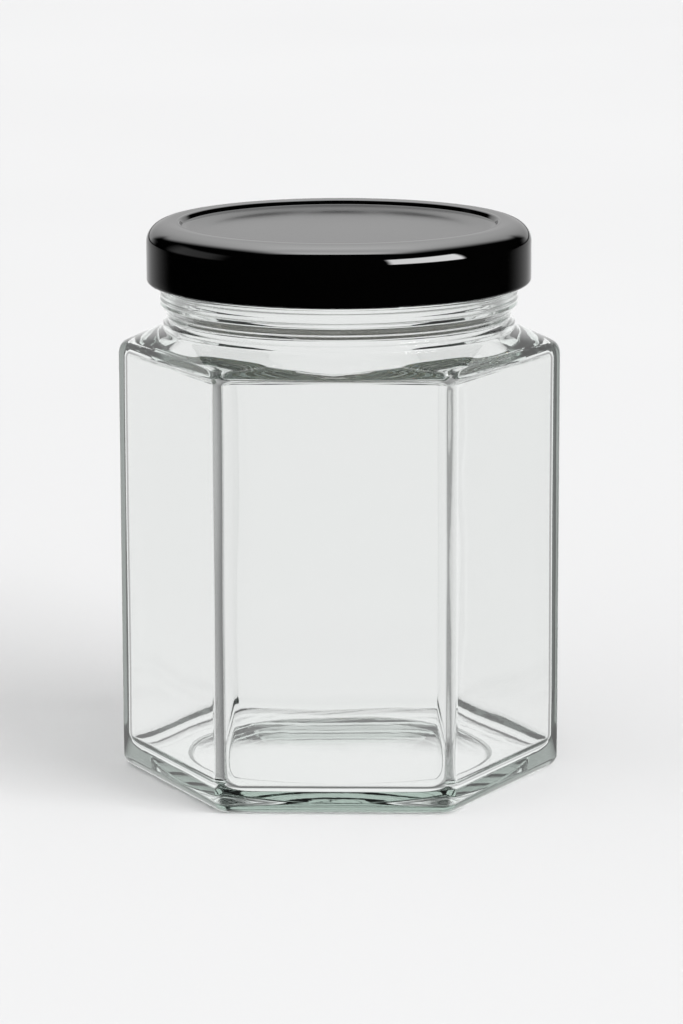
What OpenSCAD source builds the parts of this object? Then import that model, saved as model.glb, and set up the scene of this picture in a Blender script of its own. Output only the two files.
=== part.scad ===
// Hexagonal glass jar with a four-lug twist-off cap, drawn screwed fully down.
// Millimetres, +Z up. The origin is the centre of the footprint on the resting plane.
// Two opposite vertical edges of the hexagon lie on the X axis; the front panel faces -Y
// and the back panel +Y.

/* [Glass body] */

// Distance between the outer faces of the front and back panels
across_flats = 66.3; // [58:0.1:80]
// Distance between the outer faces of each of the other two pairs of panels
across_sides = 66.84; // [58:0.01:80]
// Direction the side panels face, in degrees from the X axis
side_turn = 29.14; // [28:0.01:32]
// Outer rounding of the six vertical edges
edge_radius = 2.0; // [1:0.05:8]
// Outer rounding where the panels meet the underside
heel_radius = 2.3; // [1:0.1:3.5]
// How much rounder the vertical edges get per millimetre of heel
heel_softening = 0.5; // [0:0.05:1.5]
// Glass thickness in the middle of a panel
panel_wall = 2.1; // [1.6:0.05:3.4]
// Inner rounding of the six vertical edges
inner_edge_radius = 2.8; // [1.5:0.05:9]
// Inside floor height above the resting plane
floor_height = 3.3; // [2.8:0.1:7]
// Inner rounding between walls and floor
floor_radius = 2.8; // [1.5:0.1:5]
// How much rounder the inner edges get per millimetre of floor rounding
floor_softening = 1.8; // [0:0.05:3]
// Radius of the hollow under the base
pushup_radius = 25.2; // [18:0.1:28]
// Height of the straight step around the hollow
pushup_step = 0.7; // [0.3:0.05:1.2]
// Height of the hollow at its centre
pushup_height = 1.6; // [0.8:0.05:2.2]

/* [Shoulder] */

// Height where the panels start to round over
panel_top = 73.0; // [60:0.1:90]
// Height where the shoulder surface would cross the panels
shoulder_low = 75.05; // [62:0.01:92]
// Linear rise of the shoulder
shoulder_rise = 2.75; // [1:0.01:8]
// Extra rise of the shoulder near the neck
shoulder_sweep = 0.35; // [0:0.01:6]
// Radius the shoulder aims at
shoulder_radius = 29.9; // [26:0.05:32]
// Radius where the round inner dome of the shoulder starts
dome_radius = 29.8; // [28:0.05:31]
// Height where the inner dome meets the mouth
dome_top = 79.2; // [76:0.1:84]
// Height of the small ceilings in the corners beside the dome
ceiling = 74.1; // [70:0.1:76]
// Rounding between those ceilings and the walls
ceiling_radius = 1.1; // [0.5:0.05:1.2]

/* [Neck finish] */

// Radius of the neck ring seam above the shoulder
seam_radius = 30.2; // [27:0.05:32]
// Height of the neck ring seam
seam_height = 79.05; // [70:0.05:90]
// Radius of the waist under the transfer bead
waist_radius = 29.35; // [26:0.05:31]
// Radius where the waist runs into the transfer bead
neck_radius = 29.75; // [26:0.05:31]
// Underside of the transfer bead
bead_low = 80.8; // [72:0.05:92]
// Height of the widest part of the transfer bead
bead_crest = 82.45; // [74:0.05:94]
// Top of the transfer bead
bead_high = 85.25; // [76:0.05:96]
// Radius of the transfer bead
bead_radius = 30.68; // [28:0.01:33]
// Radius of the glass between the threads
root_radius = 29.95; // [27:0.05:32]
// Radius over the threads
thread_radius = 31.3; // [29:0.05:33]
// Radius of the mouth
bore_radius = 27.3; // [22:0.05:29]
// Height of the sealing lip
rim_height = 94.75; // [84:0.05:105]
// Rounding of the sealing lip
lip_radius = 0.95; // [0.5:0.05:1.2]

/* [Thread] */

// Number of thread starts and cap lugs
starts = 4; // [3:1:6]
// Rise of the thread in one full turn
thread_lead = 16; // [10:0.1:24]
// Sweep of each thread ridge in degrees
thread_sweep = 66; // [40:1:80]
// Height of the middle of each ridge at its low end
thread_low = 88.24; // [80:0.01:100]
// Axial width of a ridge at its root
thread_width = 1.3; // [0.8:0.05:2]
// Where the first ridge starts, in degrees from +X
thread_phase = 12; // [0:1:89]

/* [Cap] */

// Outside radius of the cap skirt
cap_radius = 32.95; // [30:0.05:36]
// Lowest point of the cap
cap_low = 85.8; // [80:0.05:95]
// Top of the raised rim of the cap
cap_high = 96.19; // [86:0.01:106]
// Radius of the crest of the raised rim
crest_radius = 29.29; // [26:0.01:31]
// Axial size of the rounding outside the crest
crest_drop = 3.39; // [1:0.01:5]
// Width of the flat top of the raised rim
crest_flat = 1.75; // [0.2:0.05:3]
// Rounding inside the crest
crest_inner = 0.4; // [0.4:0.05:1.5]
// Rounding at the foot of the step, on the centre panel
step_round = 0.12; // [0.05:0.01:2]
// Depth of the recessed centre panel
panel_depth = 1.32; // [0.6:0.01:1.6]
// Steepness of the step down to the centre panel, in degrees
panel_slope = 60; // [35:1:70]
// Width of the band where the centre panel curves up to the step
panel_sweep = 4.8; // [0.5:0.1:6]
// Angle the centre panel has reached where it meets the step, in degrees
sweep_angle = 12; // [2:1:30]
// Sheet thickness of the cap
sheet = 0.22; // [0.16:0.01:0.4]
// Radius of the rolled lower edge
curl_radius = 0.75; // [0.5:0.05:1]

/* [Cap lugs] */

// Sweep of one lug in degrees
lug_sweep = 18; // [10:1:24]
// Inner reach of a lug
lug_inner = 30.35; // [28:0.05:32]
// Underside of a lug
lug_low = 86.5; // [82:0.05:92]
// Top face of a lug
lug_high = 87.8; // [83:0.05:93]
// How far a lug sits past the start of its ridge when the cap is closed, in degrees
lug_engaged = 8; // [2:1:30]

/* [Sealing ring] */

// Inner radius of the sealing ring
ring_inner = 27.62; // [24:0.01:30]
// Outer radius of the sealing ring
ring_outer = 31.55; // [28:0.01:33]
// Gap left to the glass and to the sheet
ring_gap = 0.015; // [0.005:0.005:0.05]

/* [Show] */

// Which piece to draw

/* [Hidden] */

// Straight steps on each rounded vertical edge
edge_steps = 8;
// Sides of every turned shape
turn_sides = 120;
start_pitch = 360 / starts;

// Cap top: rise of the curved band, then of the straight part of the step
panel_height = cap_high - panel_depth;
sweep_rise = panel_sweep * tan(sweep_angle) / 2;
step_rise = panel_depth - sweep_rise - crest_inner * (1 - cos(panel_slope))
    - step_round * (cos(sweep_angle) - cos(panel_slope));
// Centre of the rounding at the foot of the step, [radius, height]
foot_centre = [
    crest_radius - crest_flat - (crest_inner + step_round) * sin(panel_slope)
        - step_rise / tan(panel_slope),
    panel_height + sweep_rise + step_round * cos(sweep_angle)];
// Radius of the flat middle of the centre panel
flat_radius = foot_centre[0] + step_round * sin(sweep_angle) - panel_sweep;
// Centre of the rolled lower edge, [radius, height]
curl_centre = [cap_radius - curl_radius, cap_low + curl_radius];

// ---- curves --------------------------------------------------------------------------

// Arc between two angles, elliptical when the two radii differ.
function arc(centre, radii, from, to, steps) = [for (i = [0:steps])
    let (angle = from + (to - from) * i / steps)
    centre + [radii[0] * cos(angle), radii[1] * sin(angle)]];

function round_arc(centre, radius, from, to, steps) =
    arc(centre, [radius, radius], from, to, steps);

function reversed(list) = [for (i = [len(list) - 1:-1:0]) list[i]];

// ---- hexagonal levels ----------------------------------------------------------------

// A level is [core, edge rounding, height]. Its core is the hexagon through the centres of
// the edge roundings: [half depth along Y, distance of the corner on the X axis].
function core_of(inset, radius) =
    [across_flats / 2 - inset - radius, (across_sides / 2 - inset - radius) / cos(side_turn)];

// The six core corners: x, y, start and end angle of the edge rounding.
function corners(core) =
    let (y = core[0], tip = core[1], x = tip - y * tan(side_turn), turn = side_turn)
    [[tip, 0, -turn, turn], [x, y, turn, 90], [-x, y, 90, 180 - turn],
     [-tip, 0, 180 - turn, 180 + turn], [-x, -y, 180 + turn, 270], [x, -y, 270, 360 - turn]];

// Outline of one level, counterclockwise from above.
function hex_ring(level) = [
    for (corner = corners(level[0]),
         point = round_arc([corner[0], corner[1]], level[1], corner[2], corner[3], edge_steps))
    [point[0], point[1], level[2]]];

// Levels that widen over a quarter round, from inset by size at height z to the full wall
// line at z + rise. The edges get rounder by softening per millimetre of inset.
function widening(wall, edge, softening, size, z, rise, steps) = [for (i = [0:steps])
    let (angle = 90 * i / steps, inset = size * (1 - sin(angle)), radius = edge + softening * inset)
    [core_of(wall + inset, radius), radius, z + rise * (1 - cos(angle))]];

// Solid through the levels, stacked from the bottom up.
module stack(levels) {
    count = 6 * (edge_steps + 1);
    last = len(levels) - 1;
    points = [for (level = levels) each hex_ring(level)];
    sides = [for (j = [0:last - 1], i = [0:count - 1])
        let (here = j * count + i, next = j * count + (i + 1) % count)
        each [[here + count, next + count, next], [here + count, next, here]]];
    low = [for (i = [0:count - 1]) i];
    high = [for (i = [0:count - 1]) last * count + count - 1 - i];
    polyhedron(points, concat([low], sides, [high]), convexity = 4);
}

// ---- glass ---------------------------------------------------------------------------

// Height of the shoulder at a share of the way from the panels to the neck.
function shoulder(share) = shoulder_low + shoulder_rise * share + shoulder_sweep * share * share;

// Level that turns from the hexagon (share 0) to the shoulder circle (share 1).
function shoulder_level(share, z) =
    [core_of(0, edge_radius) * (1 - share),
     edge_radius + (shoulder_radius - edge_radius) * share, z];

module outer_body() {
    over_share = 0.19; // share of the shoulder where the round-over from the panels ends
    heel = widening(wall = 0, edge = edge_radius, softening = heel_softening,
        size = heel_radius, z = 0, rise = heel_radius, steps = 6);
    over = [for (i = [0:6]) let (u = i / 6)
        shoulder_level(over_share * u * u,
            (1 - u) * (1 - u) * panel_top + 2 * u * (1 - u) * shoulder_low
                + u * u * shoulder(over_share))];
    slope = [for (share = [0.35, 0.51, 0.67, 0.83, 0.98]) shoulder_level(share, shoulder(share))];
    stack(concat(heel, over, slope));
}

module cavity() {
    overlap = 1; // how far the dome reaches down into the hexagonal part
    bottom = widening(wall = panel_wall, edge = inner_edge_radius, softening = floor_softening,
        size = floor_radius, z = floor_height, rise = floor_radius, steps = 7);
    top = widening(wall = panel_wall, edge = inner_edge_radius, softening = 0.4,
        size = ceiling_radius, z = ceiling - 0.1, rise = -1.3 * ceiling_radius, steps = 5);
    dome = [for (i = [0:10]) let (u = 1 - i / 10)
        [bore_radius + (dome_radius - bore_radius) * u * u, dome_top - (dome_top - ceiling) * u]];
    stack(concat(bottom, reversed(top)));
    rotate_extrude($fn = turn_sides)
        polygon(concat([[0, ceiling - overlap], [dome_radius, ceiling - overlap]],
            dome, [[0, dome_top]]));
}

// The neck ring, waist, transfer bead and lip as one turned solid.
module finish() {
    finish_low = 77; // buried in the body
    seam_bevel = [0.08, 0.12];
    waist_round = [0.62, 0.6];
    waist_gap = 0.1; // height between the seam and the waist rounding
    bead_round = 0.5;
    bead_setback = 0.15; // of the rounded top, from the bead radius
    // Parting line and groove on the bead: offsets from [bead_radius, bead_high]
    bead_side = [
        [-0.02, -2.43], [-0.02, -2.23], [0.05, -2.09], [0.05, -1.99], [-0.04, -1.85],
        [-0.07, -1.1], [-0.19, -0.87], [-0.22, -0.75], [-0.21, -0.63], [-0.15, -0.55]];

    seam = [[seam_radius, finish_low], [seam_radius, seam_height - seam_bevel[1]],
        [seam_radius - seam_bevel[0], seam_height]];
    waist = arc([waist_radius, seam_height + waist_gap] + waist_round, waist_round, 270, 180, 5);
    bead_under = [for (i = [0:8]) let (u = i / 8)
        [neck_radius + (bead_radius - neck_radius) * (1 - cos(180 * u)) / 2,
         bead_low + (bead_crest - bead_low) * u]];
    bead_top = round_arc([bead_radius - bead_setback - bead_round, bead_high - bead_round],
        bead_round, 0, 90, 5);
    lip = round_arc([root_radius - lip_radius, rim_height - lip_radius], lip_radius, 0, 90, 6);
    rotate_extrude($fn = turn_sides)
        polygon(concat(
            [[0, finish_low]], seam, waist, [[waist_radius + 0.02, seam_height + 1.1]],
            bead_under, [for (offset = bead_side) [bead_radius, bead_high] + offset], bead_top,
            [[root_radius, bead_high + 0.12]], lip, [[0, rim_height]]));
}

// The mouth, with the inner rounding of the lip.
module mouth() {
    mouth_low = 74.5; // inside the dome
    flare = 1.5; // radial run of the cut past the lip rounding
    lip_arc = 75;
    lip = round_arc([bore_radius + lip_radius, rim_height - lip_radius], lip_radius,
        180, 180 - lip_arc, 5);
    lip_end = lip[len(lip) - 1];
    above = rim_height + 1;
    rotate_extrude($fn = turn_sides)
        polygon(concat([[0, mouth_low], [bore_radius, mouth_low]], lip,
            [lip_end + flare * [1, tan(90 - lip_arc)], [lip_end[0] + flare, above], [0, above]]));
}

// Shallow hollow under the base, so the jar stands on a ring.
module pushup() {
    step_arc = 60;
    step_lean = 0.25; // extra inward lean of the step over its height
    roof_inset = 0.9; // from the hollow's radius to the start of its roof
    step = [for (i = [0:4]) let (angle = step_arc * i / 4)
        [pushup_radius - pushup_step * 0.8 * (1 - cos(angle)) - step_lean * i / 4,
         pushup_step * sin(angle) / sin(step_arc)]];
    roof = [for (i = [1:8]) let (u = i / 8)
        [(pushup_radius - roof_inset) * (1 - u),
         pushup_step + (pushup_height - pushup_step) * (1 - pow(1 - u, 2))]];
    rotate_extrude($fn = turn_sides)
        polygon(concat([[0, -1], [pushup_radius + 1, -1], [pushup_radius, 0]], step, roof));
}

// One thread ridge, tapered away at both ends, sunk a little into the glass.
module ridge() {
    steps = 24;
    taper = 0.14; // share of the sweep taken by each tapered end
    sunk = root_radius - 0.3;
    end_radius = root_radius - 0.12; // crest of the ridge at its very ends
    // Cross-section: share of the way from sunk to crest, share of the half width
    section = [[0, -1], [0.8, -0.8], [1, -0.4], [1, 0.4], [0.8, 0.8], [0, 1]];
    count = len(section);
    points = [for (i = [0:steps])
        let (u = i / steps, angle = thread_sweep * u,
             middle = thread_low + thread_lead * thread_sweep / 360 * u,
             fullness = sin(90 * min(1, min(u, 1 - u) / taper)),
             crest = end_radius + (thread_radius - end_radius) * fullness,
             half_width = thread_width / 2 * (0.55 + 0.45 * fullness))
        each [for (share = section) let (radius = sunk + (crest - sunk) * share[0])
            [radius * cos(angle), radius * sin(angle), middle + half_width * share[1]]]];
    sides = [for (j = [0:steps - 1], i = [0:count - 1])
        let (here = j * count + i, next = j * count + (i + 1) % count)
        each [[here, next, here + count], [next, next + count, here + count]]];
    first = [for (i = [count - 1:-1:0]) i];
    last = [for (i = [0:count - 1]) steps * count + i];
    polyhedron(points, concat([first], sides, [last]), convexity = 4);
}

module jar_body() {
    color([0.80, 0.88, 0.85, 0.45])
        difference() {
            union() {
                outer_body();
                finish();
                for (k = [0:starts - 1])
                    rotate([0, 0, thread_phase + start_pitch * k])
                        ridge();
            }
            cavity();
            mouth();
            pushup();
        }
}

// ---- cap -----------------------------------------------------------------------------

// Outer skin of the cap from the centre panel out to the skirt, moved into the sheet by depth.
function skin(depth) = concat(
    // band where the centre panel curves up
    [for (i = [0:7]) let (u = i / 8, angle = atan(tan(sweep_angle) * u))
        [flat_radius + panel_sweep * u + depth * sin(angle),
         panel_height + sweep_rise * u * u - depth * cos(angle)]],
    // foot of the step
    round_arc(foot_centre, step_round + depth, sweep_angle - 90, panel_slope - 90, 5),
    // inside of the crest, then outside of it down to the skirt
    round_arc([crest_radius - crest_flat, cap_high - crest_inner], crest_inner - depth,
        90 + panel_slope, 90, 5),
    arc([crest_radius, cap_high - crest_drop],
        [cap_radius - crest_radius - depth, crest_drop - depth], 90, 0, 10));

// Sheet of the cap top and skirt with its rolled lower edge.
module cap_sheet() {
    curl_end = -250; // angle where the roll stops, starting from 0 at the skirt
    rotate_extrude($fn = turn_sides)
        polygon(concat([[0, panel_height]], skin(0),
            round_arc(curl_centre, curl_radius, 0, curl_end, 14),
            round_arc(curl_centre, curl_radius - sheet, curl_end, 0, 14),
            reversed(skin(sheet)), [[0, panel_height - sheet]]));
}

// One lug, reaching inwards from the skirt, starting on the +X axis.
module lug() {
    outer = cap_radius - sheet / 2;
    foot = cap_low + sheet * 0.7;
    // Corner rounding of the inner end: offsets from its lower corner
    nose = [[0.35, 0], [0.1, 0.1], [0, 0.35]];
    rotate_extrude(angle = lug_sweep, $fn = turn_sides)
        polygon(concat(
            [[outer, curl_centre[1]], [curl_centre[0] + 0.35, foot], [curl_centre[0] - 0.3, foot]],
            [for (offset = nose) [lug_inner, lug_low] + offset],
            [for (offset = reversed(nose)) [lug_inner + offset[0], lug_high - offset[1]]],
            [[curl_centre[0] - 0.4, lug_high], [outer, lug_high - 0.3]]));
}

module lid_shell() {
    color([0.03, 0.03, 0.035])
        union() {
            cap_sheet();
            for (k = [0:starts - 1])
                rotate([0, 0, thread_phase + lug_engaged + start_pitch * k])
                    lug();
        }
}

// ---- sealing ring --------------------------------------------------------------------

module lid_gasket() {
    bevel = [0.25, 0.2]; // lower outer corner
    under = rim_height + ring_gap;
    depth = sheet + ring_gap;
    roof = [for (point = skin(depth))
        if (point[0] > ring_inner + 0.02 && point[0] < ring_outer) point];
    color([0.86, 0.84, 0.78])
        rotate_extrude($fn = turn_sides)
            polygon(concat(
                [[ring_inner, under], [ring_outer - bevel[0], under],
                 [ring_outer, under + bevel[1]]],
                reversed(roof), [[ring_inner, cap_high - depth]]));
}

jar_body();
lid_gasket();
lid_shell();
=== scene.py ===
"""A six-sided clear glass jar with a black lacquered lug cap and its sealing ring.

The jar stands on z = 0 with its axis on Z. Its front and back panels face -Y and +Y, and two
of its vertical edges lie on the X axis. Pieces are measured in millimetres and turned into
metres when the meshes are made. The studio and the camera are in metres.
"""
import math

import bmesh
import bpy
import numpy as np
from mathutils import Matrix, Vector


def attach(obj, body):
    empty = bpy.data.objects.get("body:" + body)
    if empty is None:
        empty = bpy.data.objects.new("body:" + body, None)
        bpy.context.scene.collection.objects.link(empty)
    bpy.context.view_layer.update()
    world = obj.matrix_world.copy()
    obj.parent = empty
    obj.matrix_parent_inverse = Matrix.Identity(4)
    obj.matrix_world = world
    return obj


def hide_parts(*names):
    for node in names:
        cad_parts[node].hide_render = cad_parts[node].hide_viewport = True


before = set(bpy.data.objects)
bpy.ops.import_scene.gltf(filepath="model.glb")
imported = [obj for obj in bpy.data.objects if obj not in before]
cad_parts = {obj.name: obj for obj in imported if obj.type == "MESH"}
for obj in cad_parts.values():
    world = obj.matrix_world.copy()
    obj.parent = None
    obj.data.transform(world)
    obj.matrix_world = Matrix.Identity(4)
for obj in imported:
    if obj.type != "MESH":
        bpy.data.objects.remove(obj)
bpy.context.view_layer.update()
scene = bpy.context.scene
MM = 0.001
PI = math.pi
DEGREES = 180 / PI

# =====================================================================================
# Dimensions of the jar, in millimetres
# =====================================================================================
ACROSS_FRONT = 66.3              # across the front and back panels
ACROSS_SIDES = 66.84             # across the other two pairs of panels
SIDE_TURN = math.radians(29.14)  # direction the side panels face, from the X axis
FRONT_EDGE_X = 18.6              # about where the front and back panels end
EDGE_R, INNER_EDGE_R = 2.0, 2.8  # rounding of the vertical edges, outside and inside
WALL = 2.1
# _GROWTH: how much rounder the vertical edges get for each millimetre the outline draws in
HEEL_R, HEEL_GROWTH = 2.3, 0.5
FLOOR_Z, FLOOR_R, FLOOR_GROWTH = 3.3, 2.8, 1.8
# hollow under the base: radius, height of the step round it, width of the step, middle height
HOLLOW_R, HOLLOW_STEP, HOLLOW_STEP_W, HOLLOW_TOP = 25.2, 0.7, 0.53, 1.6
HOLLOW_STEP_ARC = math.radians(75)
REST_R, REST_UNEVEN = HOLLOW_R + 0.22, 0.05   # inner edge and unevenness of the resting ring
PANEL_TOP = 73.0
# shoulder height = Z + RISE t + CURVE t^2, with t from 0 at the panels to 1 at the neck
SHOULDER_Z, SHOULDER_RISE, SHOULDER_CURVE = 75.05, 2.75, 0.35
SHOULDER_R = 29.9
ROUND_OVER_END = 0.19            # t where the round-over above the panels ends
SEAM_R, SEAM_Z, SEAM_BLEND = 30.2, 79.05, 0.45
WAIST_R, NECK_R = 29.35, 29.75
BEAD_LOW, BEAD_MID, BEAD_HIGH, BEAD_R = 80.8, 82.45, 85.25, 30.68
BEAD_TOP_R, BEAD_TOP_IN = 0.5, 0.65
ROOT_R, THREAD_R = 29.95, 31.3   # neck between the threads, and thread crests
BORE_R, RIM_Z, LIP_R = 27.3, 94.75, 0.95
# thread ridges: number, rise per turn, length and start in degrees, height of the low end
STARTS, LEAD, SWEEP, PHASE = 4, 16.0, 66.0, 12.0
THREAD_LOW, THREAD_WIDTH = 88.24, 1.3
THREAD_FADE, THREAD_FLANK = 0.14, 0.62   # share of the length and of the half width that tapers
DOME_R, DOME_TOP = 29.8, 79.2
CEILING_Z, CEILING_R, CEILING_GROWTH = 74.1, 1.1, 0.4

# Offsets from SEAM_R and SEAM_Z: radius, height
SEAM_RINGS = [(0.02, -0.75), (0.01, -0.45), (-0.01, -0.12), (-0.08, 0.0)]
# Parting line and groove on the bead, as offsets from BEAD_R and BEAD_HIGH: radius, height
BEAD_RINGS = [
    (-0.02, -2.43), (-0.02, -2.23), (0.02, -2.17), (0.05, -2.09), (0.05, -1.99),
    (0.01, -1.91), (-0.04, -1.85), (-0.05, -1.45), (-0.07, -1.10), (-0.11, -0.98),
    (-0.19, -0.87), (-0.22, -0.75), (-0.21, -0.63), (-0.17, -0.56),
]
# Unevenness of the inside wall: depth, waves round the jar, rise (mm per radian), phase
WALL_WAVES = [(0.055, 3, 13.0, 0.8), (0.045, 5, -19.0, 1.68),
              (0.035, 2, 8.5, 0.7), (0.025, 8, 6.0, 1.04)]

# =====================================================================================
# Dimensions of the cap and the sealing ring, in millimetres
# =====================================================================================
CAP_R, CAP_LOW, CAP_HIGH = 32.95, 85.8, 96.19
CREST_R, CREST_DROP, CREST_IN = 29.29, 3.39, 0.4   # raised rim: outer round, inner round
CREST_FLAT, CREST_DOME, STEP_R = 1.75, 0.05, 0.12
APRON, APRON_ANGLE = 4.8, math.radians(12)         # outer band of the panel, curving up
PANEL_DEPTH, SLOPE, SHEET, CURL_R = 1.32, math.radians(60), 0.22, 0.75
PANEL_DOME = 0.05
LUG_SWEEP, LUG_ON, LUG_FADE_OUT, LUG_FADE_IN = 18.0, 8.0, 0.9, 1.1   # degrees
LUG_R, LUG_LOW, LUG_HIGH = 30.35, 86.5, 87.8
APRON_RISE = APRON * math.tan(APRON_ANGLE) / 2
SLOPE_RISE = (PANEL_DEPTH - APRON_RISE - CREST_IN * (1 - math.cos(SLOPE))
              - STEP_R * (math.cos(APRON_ANGLE) - math.cos(SLOPE)))
PANEL_R = (CREST_R - CREST_FLAT - (CREST_IN + STEP_R) * math.sin(SLOPE)
           - SLOPE_RISE / math.tan(SLOPE))
FLAT_R = PANEL_R + STEP_R * math.sin(APRON_ANGLE) - APRON
PANEL_Z = CAP_HIGH - PANEL_DEPTH
CAP_COLUMNS, CURL_POINTS, CURL_ANGLE = 360, 26, 250
PANEL_RINGS = [0.6, 2, 4, 6.5, 9, 11.5, 14, 16.5, 19, 21]    # radii
SKIRT_RINGS = [91.9, 91.0, 90.1, 89.2, 88.4, 87.7]           # heights
RING_IN, RING_OUT, RING_GAP, RING_COLUMNS = 27.62, 31.55, 0.015, 288
# Swellings under the sealing ring: depth, radius, width
RING_SWELLS = [(0.05, 27.85, 0.22), (0.11, 30.55, 0.38)]


# =====================================================================================
# Shape helpers
# =====================================================================================
def smooth(start, end, x):
    t = np.clip((x - start) / (end - start), 0.0, 1.0)
    return t * t * (3 - 2 * t)


def soft_max(a, b, width):
    """The larger of a and b, with the corner between them rounded over a width."""
    share = np.clip(0.5 + 0.5 * (a - b) / width, 0.0, 1.0)
    return b + (a - b) * share + width * share * (1 - share)


def quarter(steps):
    """Angles from 0 to a right angle."""
    return [PI / 2 * i / steps for i in range(steps + 1)]


def even_columns(count):
    return np.radians(np.arange(count) * 360.0 / count)


def turn_outward(mesh):
    """Turn every face outwards, judged by the signed volume of the closed mesh."""
    bm = bmesh.new()
    bm.from_mesh(mesh)
    bmesh.ops.recalc_face_normals(bm, faces=bm.faces)
    if bm.calc_volume(signed=True) < 0:
        bmesh.ops.reverse_faces(bm, faces=bm.faces)
    bm.to_mesh(mesh)
    bm.free()
    mesh.update()


def revolve(name, radius, height, angles, material, poles=None):
    """A closed skin of rings. radius and height are (rings, columns) in mm. poles gives the
    heights of the first and last pole; without them the last ring joins the first."""
    rows, cols = radius.shape
    points = np.stack([radius * np.cos(angles), radius * np.sin(angles), height], 2)
    points = points.reshape(-1, 3)
    here = np.arange(rows * cols).reshape(rows, cols)
    beside = np.roll(here, -1, 1)
    quads = []
    for i in range(rows - 1 if poles else rows):
        above = (i + 1) % rows
        quads.append(np.stack([here[i], beside[i], beside[above], here[above]], 1))
    faces = np.concatenate(quads).tolist()
    if poles:
        first = rows * cols
        faces += [[first, int(beside[0][j]), int(here[0][j])] for j in range(cols)]
        faces += [[first + 1, int(here[-1][j]), int(beside[-1][j])] for j in range(cols)]
        points = np.concatenate([points, [[0.0, 0.0, z] for z in poles]])
    mesh = bpy.data.meshes.new(name)
    mesh.from_pydata((points * MM).tolist(), [], faces)
    mesh.validate()
    mesh.update()
    mesh.polygons.foreach_set("use_smooth", [True] * len(mesh.polygons))
    obj = bpy.data.objects.new(name, mesh)
    scene.collection.objects.link(obj)
    mesh.materials.append(material)
    turn_outward(mesh)
    return obj


# =====================================================================================
# Node helpers
# =====================================================================================
class Value:
    """A node output. Arithmetic on it adds Math nodes."""

    def __init__(self, nodes, socket):
        self.nodes = nodes
        self.socket = socket

    def __add__(self, other):
        return self.nodes.math("ADD", self, other)

    def __sub__(self, other):
        return self.nodes.math("SUBTRACT", self, other)

    def __rsub__(self, other):
        return self.nodes.math("SUBTRACT", other, self)

    def __mul__(self, other):
        return self.nodes.math("MULTIPLY", self, other)

    def __truediv__(self, other):
        return self.nodes.math("DIVIDE", self, other)


class Nodes:
    """Fills an emptied node tree. Inputs are given as {name or index: value or Value}."""

    def __init__(self, tree):
        self.tree = tree
        tree.nodes.clear()

    def add(self, kind, inputs=None, **props):
        node = self.tree.nodes.new(kind)
        for key, value in props.items():
            setattr(node, key, value)
        for key, value in (inputs or {}).items():
            if isinstance(value, Value):
                self.tree.links.new(value.socket, node.inputs[key])
            else:
                node.inputs[key].default_value = value
        return node

    def make(self, kind, inputs=None, output=0, **props):
        """Add a node and give one of its outputs."""
        return Value(self, self.add(kind, inputs, **props).outputs[output])

    def outputs(self, kind, inputs=None):
        """Add a node and give all its outputs by name."""
        return {s.name: Value(self, s) for s in self.add(kind, inputs).outputs}

    def separate(self, vector):
        return self.outputs("ShaderNodeSeparateXYZ", {0: vector}).values()

    def math(self, operation, a, b=0.0):
        return self.make("ShaderNodeMath", {0: a, 1: b}, operation=operation)

    def ramp(self, value, over, to=(0.0, 1.0)):
        """Smooth step from to[0] to to[1] as value goes from over[0] to over[1]."""
        if over[0] > over[1]:
            over, to = over[::-1], to[::-1]
        return self.make("ShaderNodeMapRange",
                         {"Value": value, "From Min": over[0], "From Max": over[1],
                          "To Min": to[0], "To Max": to[1]},
                         output="Result", interpolation_type="SMOOTHSTEP", clamp=True)

    def mix(self, factor, a, b):
        return self.make("ShaderNodeMix", {0: factor, 6: a, 7: b}, output=2, data_type="RGBA")

    def grey(self, value):
        """A number turned into a colour."""
        return self.mix(1.0, (0, 0, 0, 1), value)

    def noise(self, vector, scale, detail, rough):
        return self.make("ShaderNodeTexNoise", {"Vector": vector, "Scale": scale,
                                                "Detail": detail, "Roughness": rough},
                         output="Fac")

    def object_place(self):
        return self.make("ShaderNodeTexCoord", output="Object")

    def principled(self, inputs, bump_height, bump_strength, bump_distance):
        bump = self.make("ShaderNodeBump", {"Height": bump_height, "Strength": bump_strength,
                                            "Distance": bump_distance})
        return self.make("ShaderNodeBsdfPrincipled", {**inputs, "Normal": bump})

    def finish(self, surface, **others):
        self.add("ShaderNodeOutputMaterial", {"Surface": surface, **others})


def new_material(name):
    material = bpy.data.materials.new(name)
    material.use_nodes = True
    return material, Nodes(material.node_tree)


# =====================================================================================
# Materials
# =====================================================================================
def glass_material():
    material, n = new_material("clear_glass")
    place = n.object_place()
    # faint unevenness of moulded glass
    slow = n.noise(place, scale=55.0, detail=1.0, rough=0.4)
    fine = n.noise(place, scale=420.0, detail=2.0, rough=0.5)
    bsdf = n.principled(
        {"Base Color": n.mix(n.ramp(slow, over=(0.35, 0.7)),
                             (0.997, 1.0, 0.998, 1), (1.0, 1.0, 1.0, 1)),
         "Roughness": n.ramp(fine, over=(0.3, 0.8), to=(0.0, 0.0005)),
         "Transmission Weight": 1.0,
         "IOR": 1.52},
        bump_height=slow * 1.0 + fine * 0.03, bump_strength=0.16, bump_distance=0.0006)
    green = n.make("ShaderNodeVolumeAbsorption",
                   {"Color": (0.415, 0.565, 0.49, 1), "Density": 20.0})
    n.finish(bsdf, Volume=green)
    return material


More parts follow.
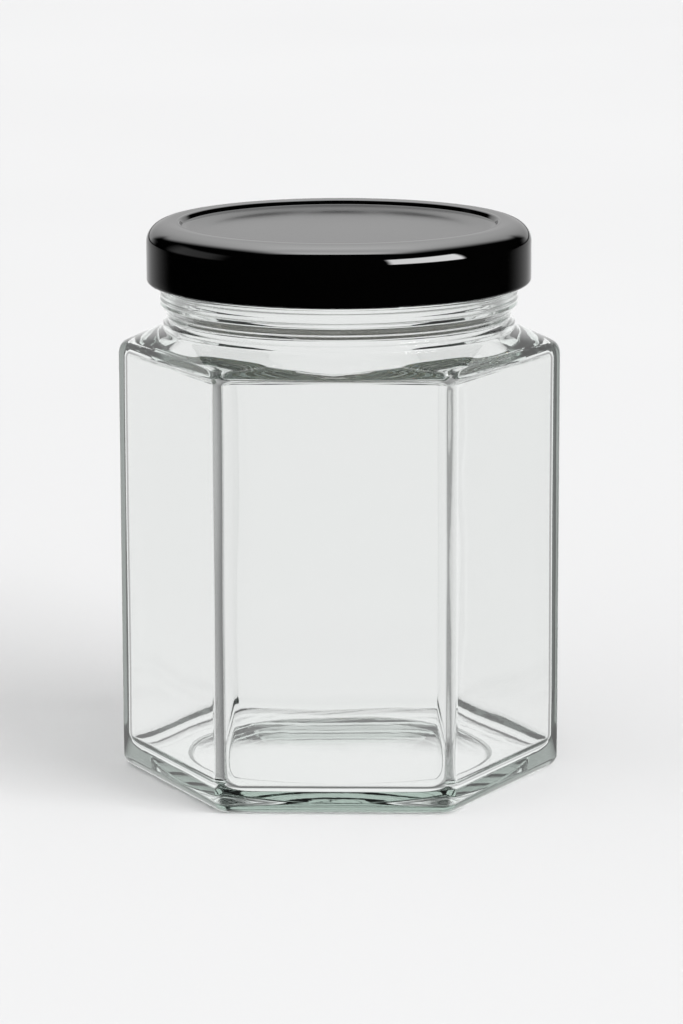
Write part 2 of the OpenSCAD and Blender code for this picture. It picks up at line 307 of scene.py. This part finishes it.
def lacquer_material():
    material, n = new_material("black_lacquer")
    place = n.object_place()
    peel = n.noise(place, scale=900.0, detail=2.0, rough=0.5)
    sheet = n.noise(place, scale=60.0, detail=1.0, rough=0.4)
    dust = n.noise(place, scale=5200.0, detail=3.0, rough=0.7)
    colour = n.mix(n.ramp(dust, over=(0.72, 0.80)),
                   (0.0004, 0.0004, 0.0004, 1), (0.004, 0.004, 0.004, 1))
    rough = (n.ramp(sheet, over=(0.3, 0.7), to=(0.016, 0.030))
             + n.ramp(dust, over=(0.70, 0.84), to=(0.0, 0.06)))
    # the flat middle of the cap is a little less glossy than the rim (limits in metres)
    x, y, z = n.separate(n.object_place())
    radius = n.math("SQRT", x * x + y * y)
    middle = n.ramp(radius, over=(0.0269, 0.0255)) * n.ramp(z, over=(0.0940, 0.0944))
    middle_rough = 0.13
    bsdf = n.principled(
        {"Base Color": colour, "Roughness": rough + middle * middle_rough, "IOR": 1.5},
        bump_height=peel * 0.06 + sheet * 1.0, bump_strength=0.10, bump_distance=0.0003)
    n.finish(bsdf)
    return material


def inner_lacquer_material():
    material, n = new_material("inner_lacquer")
    place = n.object_place()
    cloud = n.noise(place, scale=90.0, detail=3.0, rough=0.55)
    fine = n.noise(place, scale=1800.0, detail=2.0, rough=0.5)
    bsdf = n.principled(
        {"Base Color": n.mix(n.ramp(cloud, over=(0.3, 0.7)),
                             (0.50, 0.49, 0.46, 1), (0.58, 0.57, 0.54, 1)),
         "Roughness": n.ramp(fine, over=(0.3, 0.7), to=(0.22, 0.34)),
         "Metallic": 0.15},
        bump_height=fine, bump_strength=0.12, bump_distance=0.0002)
    n.finish(bsdf)
    return material


def plastisol_material():
    material, n = new_material("plastisol")
    place = n.object_place()
    cloud = n.noise(place, scale=160.0, detail=3.0, rough=0.6)
    fine = n.noise(place, scale=2600.0, detail=3.0, rough=0.6)
    bsdf = n.principled(
        {"Base Color": n.mix(n.ramp(cloud, over=(0.3, 0.7)),
                             (0.56, 0.53, 0.46, 1), (0.66, 0.63, 0.56, 1)),
         "Roughness": n.ramp(fine, over=(0.25, 0.75), to=(0.42, 0.6)),
         "Subsurface Weight": 0.08,
         "Subsurface Radius": (0.001, 0.0008, 0.0006)},
        bump_height=fine, bump_strength=0.25, bump_distance=0.0002)
    n.finish(bsdf)
    return material


GLASS = glass_material()
LACQUER = lacquer_material()
INNER_LACQUER = inner_lacquer_material()
PLASTISOL = plastisol_material()


# =====================================================================================
# Outlines of the jar: polar radii at every mesh column
# =====================================================================================
def column_angles():
    """Angles of the mesh columns: close together on the rounded vertical edges."""
    near = list(np.arange(0.0, 3.01, 0.25)) + [3.6, 4.4, 5.6, 7.4]   # degrees from an edge
    spread_from, spread_count = 9.9, 9
    edge = math.degrees(math.atan2(ACROSS_FRONT / 2 - EDGE_R, FRONT_EDGE_X))
    edges = [0.0, edge, 180.0 - edge, 180.0, 180.0 + edge, 360.0 - edge, 360.0]
    angles = []
    for start, end in zip(edges, edges[1:]):
        half = near + list(np.linspace(spread_from, (end - start) / 2, spread_count))
        angles += [start + v for v in half] + [end - v for v in half[-2:0:-1]]
    return np.radians(np.array(angles))


THETA = column_angles()
# every column folded into the first quadrant
FOLD_COS, FOLD_SIN = np.abs(np.cos(THETA)), np.abs(np.sin(THETA))
FOLD = np.arctan2(FOLD_SIN, FOLD_COS)


def rounded(half_depth, half_width, roll):
    """A hexagon of half depth (Y) and half width (X), rolled out by the radius roll."""
    front_x = half_width - half_depth * math.tan(SIDE_TURN)
    normal_x, normal_y = math.cos(SIDE_TURN), math.sin(SIDE_TURN)
    side_start = math.atan2(roll * normal_y, half_width + roll * normal_x)
    side_end = math.atan2(half_depth + roll * normal_y, front_x + roll * normal_x)
    front_start = math.atan2(half_depth + roll, front_x)

    def arc(x, y):
        along = FOLD_COS * x + FOLD_SIN * y
        return along + np.sqrt(np.maximum(roll * roll - (x * x + y * y) + along * along, 0.0))

    side = (half_width * normal_x + roll) / (FOLD_COS * normal_x + FOLD_SIN * normal_y)
    front = (half_depth + roll) / np.maximum(FOLD_SIN, 1e-6)
    front_arc = np.where(FOLD <= front_start, arc(front_x, half_depth), front)
    return np.where(FOLD <= side_start, arc(half_width, 0.0),
                    np.where(FOLD <= side_end, side, front_arc))


def core_of(inset, roll):
    """Half depth and half width of the hexagon left inside the rounding."""
    return (ACROSS_FRONT / 2 - inset - roll,
            (ACROSS_SIDES / 2 - inset - roll) / math.cos(SIDE_TURN))


def outer_outline(inset):
    roll = EDGE_R + HEEL_GROWTH * inset
    return rounded(*core_of(inset, roll), roll)


def inner_outline(inset, growth):
    roll = INNER_EDGE_R + growth * inset
    return rounded(*core_of(WALL + inset, roll), roll)


def shoulder_outline(t):
    """From the rounded hexagon (t = 0) to the neck circle (t = 1)."""
    half_depth, half_width = core_of(0.0, EDGE_R)
    return rounded(half_depth * (1 - t), half_width * (1 - t),
                   EDGE_R + (SHOULDER_R - EDGE_R) * t)


def shoulder_height(t):
    return SHOULDER_Z + SHOULDER_RISE * t + SHOULDER_CURVE * t * t


def shoulder_share(z):
    """The t at which the shoulder reaches the height z."""
    root = math.sqrt(SHOULDER_RISE ** 2 + 4 * SHOULDER_CURVE * (z - SHOULDER_Z))
    return (root - SHOULDER_RISE) / (2 * SHOULDER_CURVE)


def thread_height(z):
    """How far the thread ridges stand proud of the neck at height z."""
    total = np.zeros(THETA.shape)
    for k in range(STARTS):
        along = np.mod(np.degrees(THETA) - PHASE - 360.0 / STARTS * k, 360.0) / SWEEP
        full = np.sin(PI / 2 * np.clip(np.minimum(along, 1 - along) / THREAD_FADE, 0, 1))
        middle = THREAD_LOW + LEAD * SWEEP / 360.0 * along
        half_width = THREAD_WIDTH / 2 * (0.55 + 0.45 * full)
        flank = smooth(0.0, THREAD_FLANK, 1.0 - np.abs(z - middle) / half_width)
        total = np.maximum(total, full * flank * (THREAD_R - ROOT_R))
    return total


def waviness(z):
    """Slow unevenness of the inside of the glass, fading out at the floor and the shoulder."""
    waves = sum(depth * np.sin(count * THETA + z / rise + phase)
                for depth, count, rise, phase in WALL_WAVES)
    return waves * smooth(6.0, 14.0, z) * (1 - smooth(66.0, 74.0, z))


# =====================================================================================
# The glass jar: one closed skin of (radius, height) rings, outside and inside
# =====================================================================================
def base_rings():
    rings = []
    # hollow under the base
    edge = HOLLOW_R - HOLLOW_STEP_W
    for f in (0.03, 0.09, 0.16, 0.24, 0.32, 0.40, 0.48, 0.56, 0.64, 0.72, 0.79, 0.85, 0.90,
              0.94, 0.97):
        rings.append((edge * f, HOLLOW_STEP + (HOLLOW_TOP - HOLLOW_STEP) * (1 - f * f)))
    for i in range(6):
        a = HOLLOW_STEP_ARC * (1 - i / 5)
        rings.append((HOLLOW_R - HOLLOW_STEP_W * (1 - math.cos(a))
                      / (1 - math.cos(HOLLOW_STEP_ARC)),
                      HOLLOW_STEP * math.sin(a) / math.sin(HOLLOW_STEP_ARC)))
    # resting ring out to the heel
    rings.append((REST_R, 0.0))
    foot = outer_outline(HEEL_R)
    for f in (0.10, 0.2, 0.3, 0.4, 0.5, 0.6, 0.7, 0.8, 0.9, 0.96):
        ripple = np.sin(19 * THETA + 9 * f + 1.7 * np.sin(5 * THETA + 7 * f))
        rings.append((REST_R * (1 - f) + foot * f,
                      REST_UNEVEN * (0.5 + 0.5 * ripple) * math.sin(PI * f)))
    # heel
    for a in quarter(10):
        rings.append((outer_outline(HEEL_R * (1 - math.sin(a))), HEEL_R * (1 - math.cos(a))))
    return rings


def panel_and_shoulder_rings():
    panel = outer_outline(0.0)
    rings = [(panel, z) for z in [2.8, 3.8, *np.linspace(5.5, 70.5, 20), 72.0]]
    # round-over from the panels into the shoulder
    end_z = shoulder_height(ROUND_OVER_END)
    for i in range(13):
        u = i / 12
        z = (1 - u) ** 2 * PANEL_TOP + 2 * u * (1 - u) * SHOULDER_Z + u * u * end_z
        rings.append((shoulder_outline(ROUND_OVER_END * u * u), z))
    # shoulder, running softly into the neck ring seam
    for z in [*np.linspace(end_z, 77.3, 12)[1:], *np.arange(77.4, 78.11, 0.07)]:
        rings.append((soft_max(shoulder_outline(shoulder_share(z)), SEAM_R, SEAM_BLEND), z))
    return rings


def neck_rings():
    # neck ring seam
    rings = [(SEAM_R + dr, SEAM_Z + dz) for dr, dz in SEAM_RINGS]
    # waist
    for a in quarter(8):
        rings.append((WAIST_R + 0.62 * (1 - math.sin(a)),
                      SEAM_Z + 0.1 + 0.6 * (1 - math.cos(a))))
    waist_r, waist_z = WAIST_R + 0.02, SEAM_Z + 1.1
    for f in (0.0, 0.25, 0.5, 0.75, 0.92):
        rings.append((waist_r + (NECK_R - waist_r) * f, waist_z + (BEAD_LOW - waist_z) * f))
    # bead
    for i in range(17):
        u = i / 16
        rings.append((NECK_R + (BEAD_R - NECK_R) * (1 - math.cos(PI * u)) / 2,
                      BEAD_LOW + (BEAD_MID - BEAD_LOW) * u))
    rings += [(BEAD_R + dr, BEAD_HIGH + dz) for dr, dz in BEAD_RINGS]
    for a in quarter(9):
        rings.append((BEAD_R - BEAD_TOP_IN + BEAD_TOP_R * math.cos(a),
                      BEAD_HIGH - BEAD_TOP_R + BEAD_TOP_R * math.sin(a)))
    rings += [(ROOT_R + 0.03, BEAD_HIGH + 0.02), (ROOT_R, BEAD_HIGH + 0.12)]
    # straight neck with the thread ridges
    for z in [85.8, 86.5, *np.arange(87.2, 92.4, 0.14), 93.0]:
        rings.append((ROOT_R + thread_height(z), z))
    # sealing lip, outside then inside
    lip = [(LIP_R * (1 - math.cos(a)), RIM_Z - LIP_R * (1 - math.sin(a))) for a in quarter(10)]
    rings += [(ROOT_R - inset, z) for inset, z in lip]
    rings += [(BORE_R + inset, z) for inset, z in reversed(lip)]
    return rings


def inside_rings():
    # bore
    rings = [(BORE_R, z) for z in (92.6, 91.0, 89.0, 87.0, 85.0, 83.5, 82.0, 81.0, 80.2, 79.6)]
    # inside of the shoulder: a round dome that stands on the middles of the panels
    for f in np.linspace(0.0, 1.0, 19):
        rings.append((BORE_R + (DOME_R - BORE_R) * f * f,
                      DOME_TOP + (CEILING_Z - DOME_TOP) * f))
    # small ceilings in the six corners, rounded into the walls
    ceiling_fall, corner_drop, corner_stretch = 0.16, 0.2, 1.3
    corner = np.maximum(inner_outline(CEILING_R, CEILING_GROWTH), DOME_R + 0.01)
    for f in (0.10, 0.22, 0.36, 0.50, 0.64, 0.78, 0.90):
        rings.append((DOME_R + (corner - DOME_R) * f, CEILING_Z - ceiling_fall * f))
    for a in quarter(10):
        rings.append((inner_outline(CEILING_R * (1 - math.sin(a)), CEILING_GROWTH),
                      CEILING_Z - corner_drop - CEILING_R * corner_stretch * (1 - math.cos(a))))
    # inside walls
    wall = inner_outline(0.0, FLOOR_GROWTH)
    for z in [72.2, 71.2, 69.8, *np.linspace(68.0, FLOOR_Z + FLOOR_R + 1.0, 24)]:
        rings.append((wall + waviness(z), z))
    # inside floor
    for a in reversed(quarter(14)):
        rings.append((inner_outline(FLOOR_R * (1 - math.sin(a)), FLOOR_GROWTH),
                      FLOOR_Z + FLOOR_R * (1 - math.cos(a))))
    floor = inner_outline(FLOOR_R, FLOOR_GROWTH)
    for f in (0.97, 0.92, 0.85, 0.76, 0.66, 0.55, 0.44, 0.33, 0.22, 0.12, 0.04):
        rings.append((floor * f, FLOOR_Z))
    return rings


def build_jar():
    rings = base_rings() + panel_and_shoulder_rings() + neck_rings() + inside_rings()
    radius = np.array([np.broadcast_to(r, THETA.shape) for r, z in rings])
    height = np.array([np.broadcast_to(z, THETA.shape) for r, z in rings])
    return revolve("jar_glass", radius, height, THETA, GLASS, poles=(HOLLOW_TOP, FLOOR_Z))


# =====================================================================================
# The cap: sheet metal, outside skin, rolled edge with lugs, inside skin
# =====================================================================================
def cap_skin(offset, step_points=8, round_points=20):
    """(radius, height) from the apron to the foot of the rim's outer round, a distance
    offset below the outside of the metal."""
    points = []
    for f in (0.0, 0.12, 0.24, 0.36, 0.48, 0.6, 0.72, 0.84, 0.94):
        # the panel curves up gently towards the step
        t = math.atan(math.tan(APRON_ANGLE) * f)
        points.append((FLAT_R + APRON * f + offset * math.sin(t),
                       PANEL_Z + APRON_RISE * f * f - offset * math.cos(t)))
    for i in range(step_points + 1):
        a = APRON_ANGLE + (SLOPE - APRON_ANGLE) * i / step_points
        points.append((PANEL_R + (STEP_R + offset) * math.sin(a),
                       PANEL_Z + APRON_RISE + STEP_R * math.cos(APRON_ANGLE)
                       - (STEP_R + offset) * math.cos(a)))
    for i in range(9):
        a = SLOPE * (1 - i / 8)
        points.append((CREST_R - CREST_FLAT - (CREST_IN - offset) * math.sin(a),
                       CAP_HIGH - CREST_IN + (CREST_IN - offset) * math.cos(a)))
    for i in range(1, 9):
        # the top of the rim is very slightly domed
        inward = 1 - i / 8
        points.append((CREST_R - CREST_FLAT * inward,
                       CAP_HIGH - offset - CREST_DOME * inward ** 2))
    for a in quarter(round_points)[1:]:
        points.append((CREST_R + (CAP_R - CREST_R - offset) * math.sin(a),
                       CAP_HIGH - CREST_DROP + (CREST_DROP - offset) * math.cos(a)))
    return points


def panel_height(r, offset):
    return PANEL_Z - offset + PANEL_DOME * (1 - (r / FLAT_R) ** 2)


def cap_side(offset):
    """One side of the cap's metal, from the middle of the panel down to the curl."""
    return ([(r, panel_height(r, offset)) for r in PANEL_RINGS] + cap_skin(offset)
            + [(CAP_R - offset, z) for z in SKIRT_RINGS])


def resample(points, count):
    """Points spaced evenly along a line."""
    points = np.array(points, float)
    lengths = np.sqrt(((points[1:] - points[:-1]) ** 2).sum(1))
    place = np.concatenate([[0], np.cumsum(lengths)])
    wanted = np.linspace(0, place[-1], count)
    return [(np.interp(w, place, points[:, 0]), np.interp(w, place, points[:, 1]))
            for w in wanted]


def curl_section():
    """The rolled edge: outside of the roll, then back along its inside."""
    centre_r, centre_z = CAP_R - CURL_R, CAP_LOW + CURL_R
    outside = np.radians(np.linspace(0, -CURL_ANGLE, CURL_POINTS))
    return [(centre_r + radius * math.cos(a), centre_z + radius * math.sin(a))
            for radius, angles in ((CURL_R, outside), (CURL_R - SHEET, outside[::-1]))
            for a in angles]


def lug_section():
    """A lug: the roll is pressed flat and pushed inwards. As many points as the curl."""
    centre_r, centre_z = CAP_R - CURL_R, CAP_LOW + CURL_R
    inner_r = CAP_R - SHEET
    tongue = [
        (CAP_R, centre_z), (centre_r + 0.64, centre_z - 0.40), (centre_r + 0.3, CAP_LOW + 0.07),
        (centre_r - 0.05, CAP_LOW + 0.02), (centre_r - 0.35, CAP_LOW + 0.09), (31.3, 86.38),
        (LUG_R + 0.45, LUG_LOW + 0.02), (LUG_R + 0.16, LUG_LOW + 0.10),
        (LUG_R + 0.03, LUG_LOW + 0.33), (LUG_R, 87.15), (LUG_R + 0.03, LUG_HIGH - 0.33),
        (LUG_R + 0.16, LUG_HIGH - 0.10), (LUG_R + 0.45, LUG_HIGH - 0.01), (31.4, LUG_HIGH),
        (centre_r - 0.35, LUG_HIGH - 0.02), (inner_r - 0.12, LUG_HIGH - 0.22),
    ]
    back = [(inner_r - 0.08, LUG_HIGH - 0.20), (inner_r - 0.02, LUG_HIGH - 0.14)]
    return resample(tongue, CURL_POINTS) + resample(back, CURL_POINTS)


def lug_shares(angles):
    """Share of the lug shape at every column."""
    share = np.zeros(len(angles))
    for k in range(STARTS):
        start = PHASE + LUG_ON + 360.0 / STARTS * k
        a = np.mod(np.degrees(angles) - start + 180.0, 360.0) - 180.0
        fade_in = smooth(-LUG_FADE_OUT, LUG_FADE_IN, a)
        fade_out = smooth(LUG_SWEEP - LUG_FADE_IN, LUG_SWEEP + LUG_FADE_OUT, a)
        share = np.maximum(share, fade_in * (1 - fade_out))
    return share


def build_cap():
    angles = even_columns(CAP_COLUMNS)
    lug = lug_shares(angles)
    outside, inside = cap_side(0), cap_side(SHEET)[::-1]
    plain = np.array(outside + curl_section() + inside)[:, :, None]
    lugged = np.array(outside + lug_section() + inside)[:, :, None]
    section = plain * (1 - lug) + lugged * lug
    cap = revolve("cap_shell", section[:, 0], section[:, 1], angles, LACQUER,
                  poles=(panel_height(0, 0), panel_height(0, SHEET)))
    # the inside of the cap, from just before the end of the rolled edge, has its own lacquer
    cap.data.materials.append(INNER_LACQUER)
    first_row = len(outside) + 2 * CURL_POINTS - 3
    cap.data.polygons.foreach_set("material_index", [
        int(min(p.vertices) // CAP_COLUMNS >= first_row) for p in cap.data.polygons])
    return cap


# =====================================================================================
# The sealing ring
# =====================================================================================
def build_sealing_ring():
    low = RIM_Z + RING_GAP
    roof = [p for p in cap_skin(SHEET + RING_GAP, step_points=10, round_points=24)
            if RING_IN + 0.04 < p[0] < RING_OUT - 0.02]
    bottom_in, bottom_out = RING_IN + 0.06, RING_OUT - 0.30
    bottom = []
    for i in range(19):
        r = bottom_in + (bottom_out - bottom_in) * i / 18
        # the compound swells a little on both sides of the glass lip
        swell = sum(depth * math.exp(-((r - middle) / width) ** 2)
                    for depth, middle, width in RING_SWELLS)
        bottom.append((r, low - swell))
    outer = [(RING_OUT - 0.12, low + 0.03), (RING_OUT - 0.02, low + 0.13),
             (RING_OUT, low + 0.22)]
    inner = [(RING_IN + 0.03, roof[0][1] - 0.01), (RING_IN, (roof[0][1] + low) / 2)]
    loop = np.array(bottom + outer + roof[::-1] + inner)
    section = np.repeat(loop[:, :, None], RING_COLUMNS, 2)
    return revolve("sealing_ring", section[:, 0], section[:, 1], even_columns(RING_COLUMNS),
                   PLASTISOL)


jar = build_jar()
cap = build_cap()
sealing_ring = build_sealing_ring()

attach(jar, "jar")
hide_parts("jar_body")
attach(cap, "lid")
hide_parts("lid_shell")
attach(sealing_ring, "gasket")
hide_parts("lid_gasket")


# =====================================================================================
# Studio: pale floor, soft light described by direction, dark behind the camera.
# Angles are in degrees.
# =====================================================================================
def from_camera(n, x, y):
    """Turn a level direction into the camera's own right and forward, so that the studio
    stays the same whichever side the object is looked at from."""
    forward = n.make("ShaderNodeVectorTransform", {0: (0.0, 0.0, 1.0)},
                     vector_type="VECTOR", convert_from="CAMERA", convert_to="WORLD")
    fx, fy, _ = n.separate(forward)
    length = n.math("SQRT", n.math("MAXIMUM", fx * fx + fy * fy, 1e-6))
    fx, fy = fx / length, fy / length
    return x * fy - y * fx, x * fx + y * fy


def turn_from_ahead(n, right, ahead):
    """Angle between a level direction and the camera's forward, to either side."""
    return n.math("ABSOLUTE", n.math("ARCTAN2", right, ahead)) * DEGREES


def bent_light(n, rays, right, ahead, elevation=None):
    """Whether a ray reaches the studio straight off the glass, and how bright it finds it:
    white behind the object, falling to dark grey beside and in front of it."""
    turn = turn_from_ahead(n, right, ahead)
    through = (n.ramp(turn, over=(44.0, 21.0), to=(0.21, 0.74))
               + n.ramp(turn, over=(86.0, 44.0), to=(0.0, 0.21)))
    if elevation is not None:
        through = through * n.ramp(elevation, over=(30.0, 75.0), to=(1.0, 0.80))
    direct = n.math("LESS_THAN", rays["Diffuse Depth"], 0.5)
    passed = rays["Is Transmission Ray"]
    sharp = n.math("MAXIMUM", passed, rays["Is Singular Ray"]) * (1.0 - rays["Is Camera Ray"])
    # straight reflections off the outside of the panels meet the pale ends of the sweep
    ends = n.ramp(turn, over=(105.0, 72.0), to=(0.22, 1.10))
    return sharp * direct, through * passed + ends * (1.0 - passed)


def floor_material():
    material, n = new_material("pale_floor_painted_glow")
    place = n.make("ShaderNodeNewGeometry", output="Position")
    rays = n.outputs("ShaderNodeLightPath")
    mottled = n.noise(place, scale=3.0, detail=2.0, rough=0.5)
    pale = n.mix(n.ramp(mottled, over=(0.3, 0.7)),
                 (0.636, 0.636, 0.639, 1), (0.646, 0.646, 0.649, 1))
    diffuse = n.make("ShaderNodeBsdfDiffuse", {"Color": pale})
    # painted light: the table as the glass bends it into view glows with a set brightness
    # instead of being lit, white behind, dark beside and in front
    x, y, _ = n.separate(n.make("ShaderNodeNewGeometry", output="Incoming"))
    right, ahead = from_camera(n, x * -1.0, y * -1.0)
    bent, bright = bent_light(n, rays, right, ahead)
    # painted reflection: the same table mirrored in the lacquer glows with a set brightness,
    # pale behind, black from the sides to the front
    turn = turn_from_ahead(n, right, ahead)
    painted_lacquer_reflection = (n.ramp(turn, over=(62.0, 24.0), to=(0.0, 0.42))
                + n.ramp(turn, over=(32.0, 6.0), to=(0.0, 0.34)))
    # rays that see the painted glow: glossy and transmission rays before any diffuse bounce
    glossy = (n.math("GREATER_THAN", rays["Is Glossy Ray"] + rays["Is Transmission Ray"], 0.5)
              * n.math("LESS_THAN", rays["Diffuse Depth"], 0.5))
    painted_table_light = bright * bent + painted_lacquer_reflection * (1.0 - bent)
    # painted light: the table emits this set brightness in place of its lit colour
    glow = n.make("ShaderNodeEmission", {"Color": n.grey(painted_table_light)})
    n.finish(n.make("ShaderNodeMixShader",
                    {0: glossy * (1.0 - rays["Is Camera Ray"]), 1: diffuse, 2: glow}))
    return material


def build_floor():
    cells, half_size, height = 48, 3.2, -0.00002   # metres
    line = [-half_size + 2 * half_size * i / cells for i in range(cells + 1)]
    corners = [j * (cells + 1) + i for j in range(cells) for i in range(cells)]
    mesh = bpy.data.meshes.new("floor")
    mesh.from_pydata([(x, y, height) for y in line for x in line], [],
                     [(a, a + 1, a + cells + 2, a + cells + 1) for a in corners])
    mesh.update()
    floor = bpy.data.objects.new("floor", mesh)
    scene.collection.objects.link(floor)
    mesh.materials.append(floor_material())


def sweep_light(n, y, z, x, elevation, azimuth):
    """A white sweep behind that curves over the top: wide behind, narrower overhead, with a
    clean edge just on the camera's side of the zenith."""
    up = n.math("MAXIMUM", z, 0.02)
    along, across = y / up, n.math("ABSOLUTE", x) / up
    widening, overhead_half_width = 0.50, 0.62
    margin = along * widening + overhead_half_width - across
    wash = n.ramp(margin, over=(-0.22, 0.34)) * n.ramp(along, over=(-0.335, -0.305))
    # low down the sweep narrows to what stands right behind the object
    high = n.ramp(elevation, over=(16.0, 27.0))
    behind = n.ramp(180.0 - n.math("ABSOLUTE", azimuth), over=(36.0, 25.0))
    wash = wash * n.math("MAXIMUM", high, behind)
    low = (n.ramp(180.0 - n.math("ABSOLUTE", azimuth), over=(41.0, 22.0))
           * n.ramp(elevation, over=(12.0, 4.0)))
    wash = n.math("MAXIMUM", wash, low) * n.ramp(z, over=(0.0, 0.02))
    # brightness climbs with the elevation, from a start to a limit
    climb_from, linear, squared, lowest, brightest = 8.0, 0.022, 0.0012, 0.70, 6.1
    climb = n.math("MAXIMUM", elevation - climb_from, 0.0)
    glow = climb * linear + climb * climb * squared
    glow = n.math("MINIMUM", glow + lowest, brightest)
    return wash * (glow * n.ramp(along, over=(0.05, -0.2), to=(1.0, 1.38)))


def build_world():
    world = bpy.data.worlds.new("studio")
    scene.world = world
    world.use_nodes = True
    n = Nodes(world.node_tree)
    x, y, z = n.separate(n.make("ShaderNodeTexCoord", output="Generated"))
    x, y = from_camera(n, x, y)
    elevation = n.math("ARCSINE", z) * DEGREES
    azimuth = n.math("ARCTAN2", x, y * -1.0) * DEGREES   # 0 at the camera, 90 on its right

    def patch(middle, half_width, side_soft, low, high, soft, power):
        """A soft-edged panel of light, placed by azimuth and elevation."""
        off = n.math("ABSOLUTE", azimuth - middle)
        return (n.ramp(off, over=(half_width + side_soft, half_width - side_soft))
                * n.ramp(elevation, over=(low - soft, low + soft))
                * n.ramp(elevation, over=(high + soft, high - soft)) * power)

    total = sweep_light(n, y, z, x, elevation, azimuth)
    # key, right of the camera
    total = total + patch(middle=55.0, half_width=24.5, side_soft=2.5,
                          low=4.0, high=31.5, soft=2.0, power=15.0)
    # weak reflector on the left
    total = total + patch(middle=-98.0, half_width=20.0, side_soft=10.0,
                          low=2.0, high=27.0, soft=4.0, power=0.46)
    rays = n.outputs("ShaderNodeLightPath")
    bent, through = bent_light(n, rays, x, y, elevation)
    # a small high panel on the right glints on the shoulder where the glass meets the neck
    glint = patch(middle=72.0, half_width=18.0, side_soft=6.0,
                  low=46.0, high=66.0, soft=5.0, power=8.0)
    through = through + glint * (1.0 - rays["Is Transmission Ray"])
    lit = total * (1.0 - bent) + through * bent
    # what lights the table itself: an open room, stronger on the camera's side, and the key
    room_level, room_lean, room_power = 0.75, 0.45, 1.36
    room = (room_level - y * room_lean) * room_power
    room = room + patch(middle=55.0, half_width=24.5, side_soft=4.0,
                        low=6.0, high=34.0, soft=4.0, power=9.6)
    kinds = rays["Is Camera Ray"]
    for kind in ("Glossy", "Transmission", "Diffuse", "Singular"):
        kinds = n.math("MAXIMUM", kinds, rays[f"Is {kind} Ray"])
    scattered = n.math("GREATER_THAN", rays["Diffuse Depth"], 0.5)
    spread = n.math("MAXIMUM", scattered, 1.0 - kinds)
    lit = lit * (1.0 - spread) + room * spread
    backdrop = (0.90, 0.90, 0.905, 1)
    seen = n.mix(rays["Is Camera Ray"], n.grey(lit), backdrop)
    n.add("ShaderNodeOutputWorld", {"Surface": n.make("ShaderNodeBackground", {"Color": seen})})
    world.cycles.sampling_method = "MANUAL"
    world.cycles.sample_map_resolution = 1024


build_floor()
build_world()


# =====================================================================================
# Camera: in front of the jar, looking slightly down, swung a little round the Z axis
# =====================================================================================
def build_camera():
    place = Vector((0.000389, -0.73726, 0.19597))   # metres, before the swing
    swing = Matrix.Rotation(math.radians(1.47), 3, "Z")
    pitch, roll, yaw = math.radians(11.55), math.radians(-0.145), math.radians(-0.004)
    data = bpy.data.cameras.new("camera")
    data.sensor_width = 36.0
    data.sensor_fit = "AUTO"
    data.lens = 152.690625
    data.clip_start, data.clip_end = 0.01, 20.0
    camera = bpy.data.objects.new("camera", data)
    scene.collection.objects.link(camera)
    forward = Vector((math.sin(yaw) * math.cos(pitch), math.cos(yaw) * math.cos(pitch),
                      -math.sin(pitch)))
    level_right = Vector((math.cos(yaw), -math.sin(yaw), 0))
    level_up = level_right.cross(forward)
    right = level_right * math.cos(roll) + level_up * math.sin(roll)
    up = -level_right * math.sin(roll) + level_up * math.cos(roll)
    axes = Matrix((swing @ right, swing @ up, -(swing @ forward))).transposed()
    matrix = axes.to_4x4()
    matrix.translation = swing @ place
    camera.matrix_world = matrix
    scene.camera = camera


build_camera()

scene.view_settings.view_transform = "Standard"
scene.view_settings.look = "None"
scene.view_settings.exposure = 0.0
scene.view_settings.gamma = 1.0
cycles = scene.cycles
cycles.max_bounces = 24
cycles.transmission_bounces = 24
cycles.glossy_bounces = 12
cycles.diffuse_bounces = 3
cycles.transparent_max_bounces = 16
cycles.volume_bounces = 0
cycles.caustics_reflective = True
cycles.caustics_refractive = True
cycles.blur_glossy = 0.3
cycles.sample_clamp_indirect = 20.0
cycles.use_denoising = True
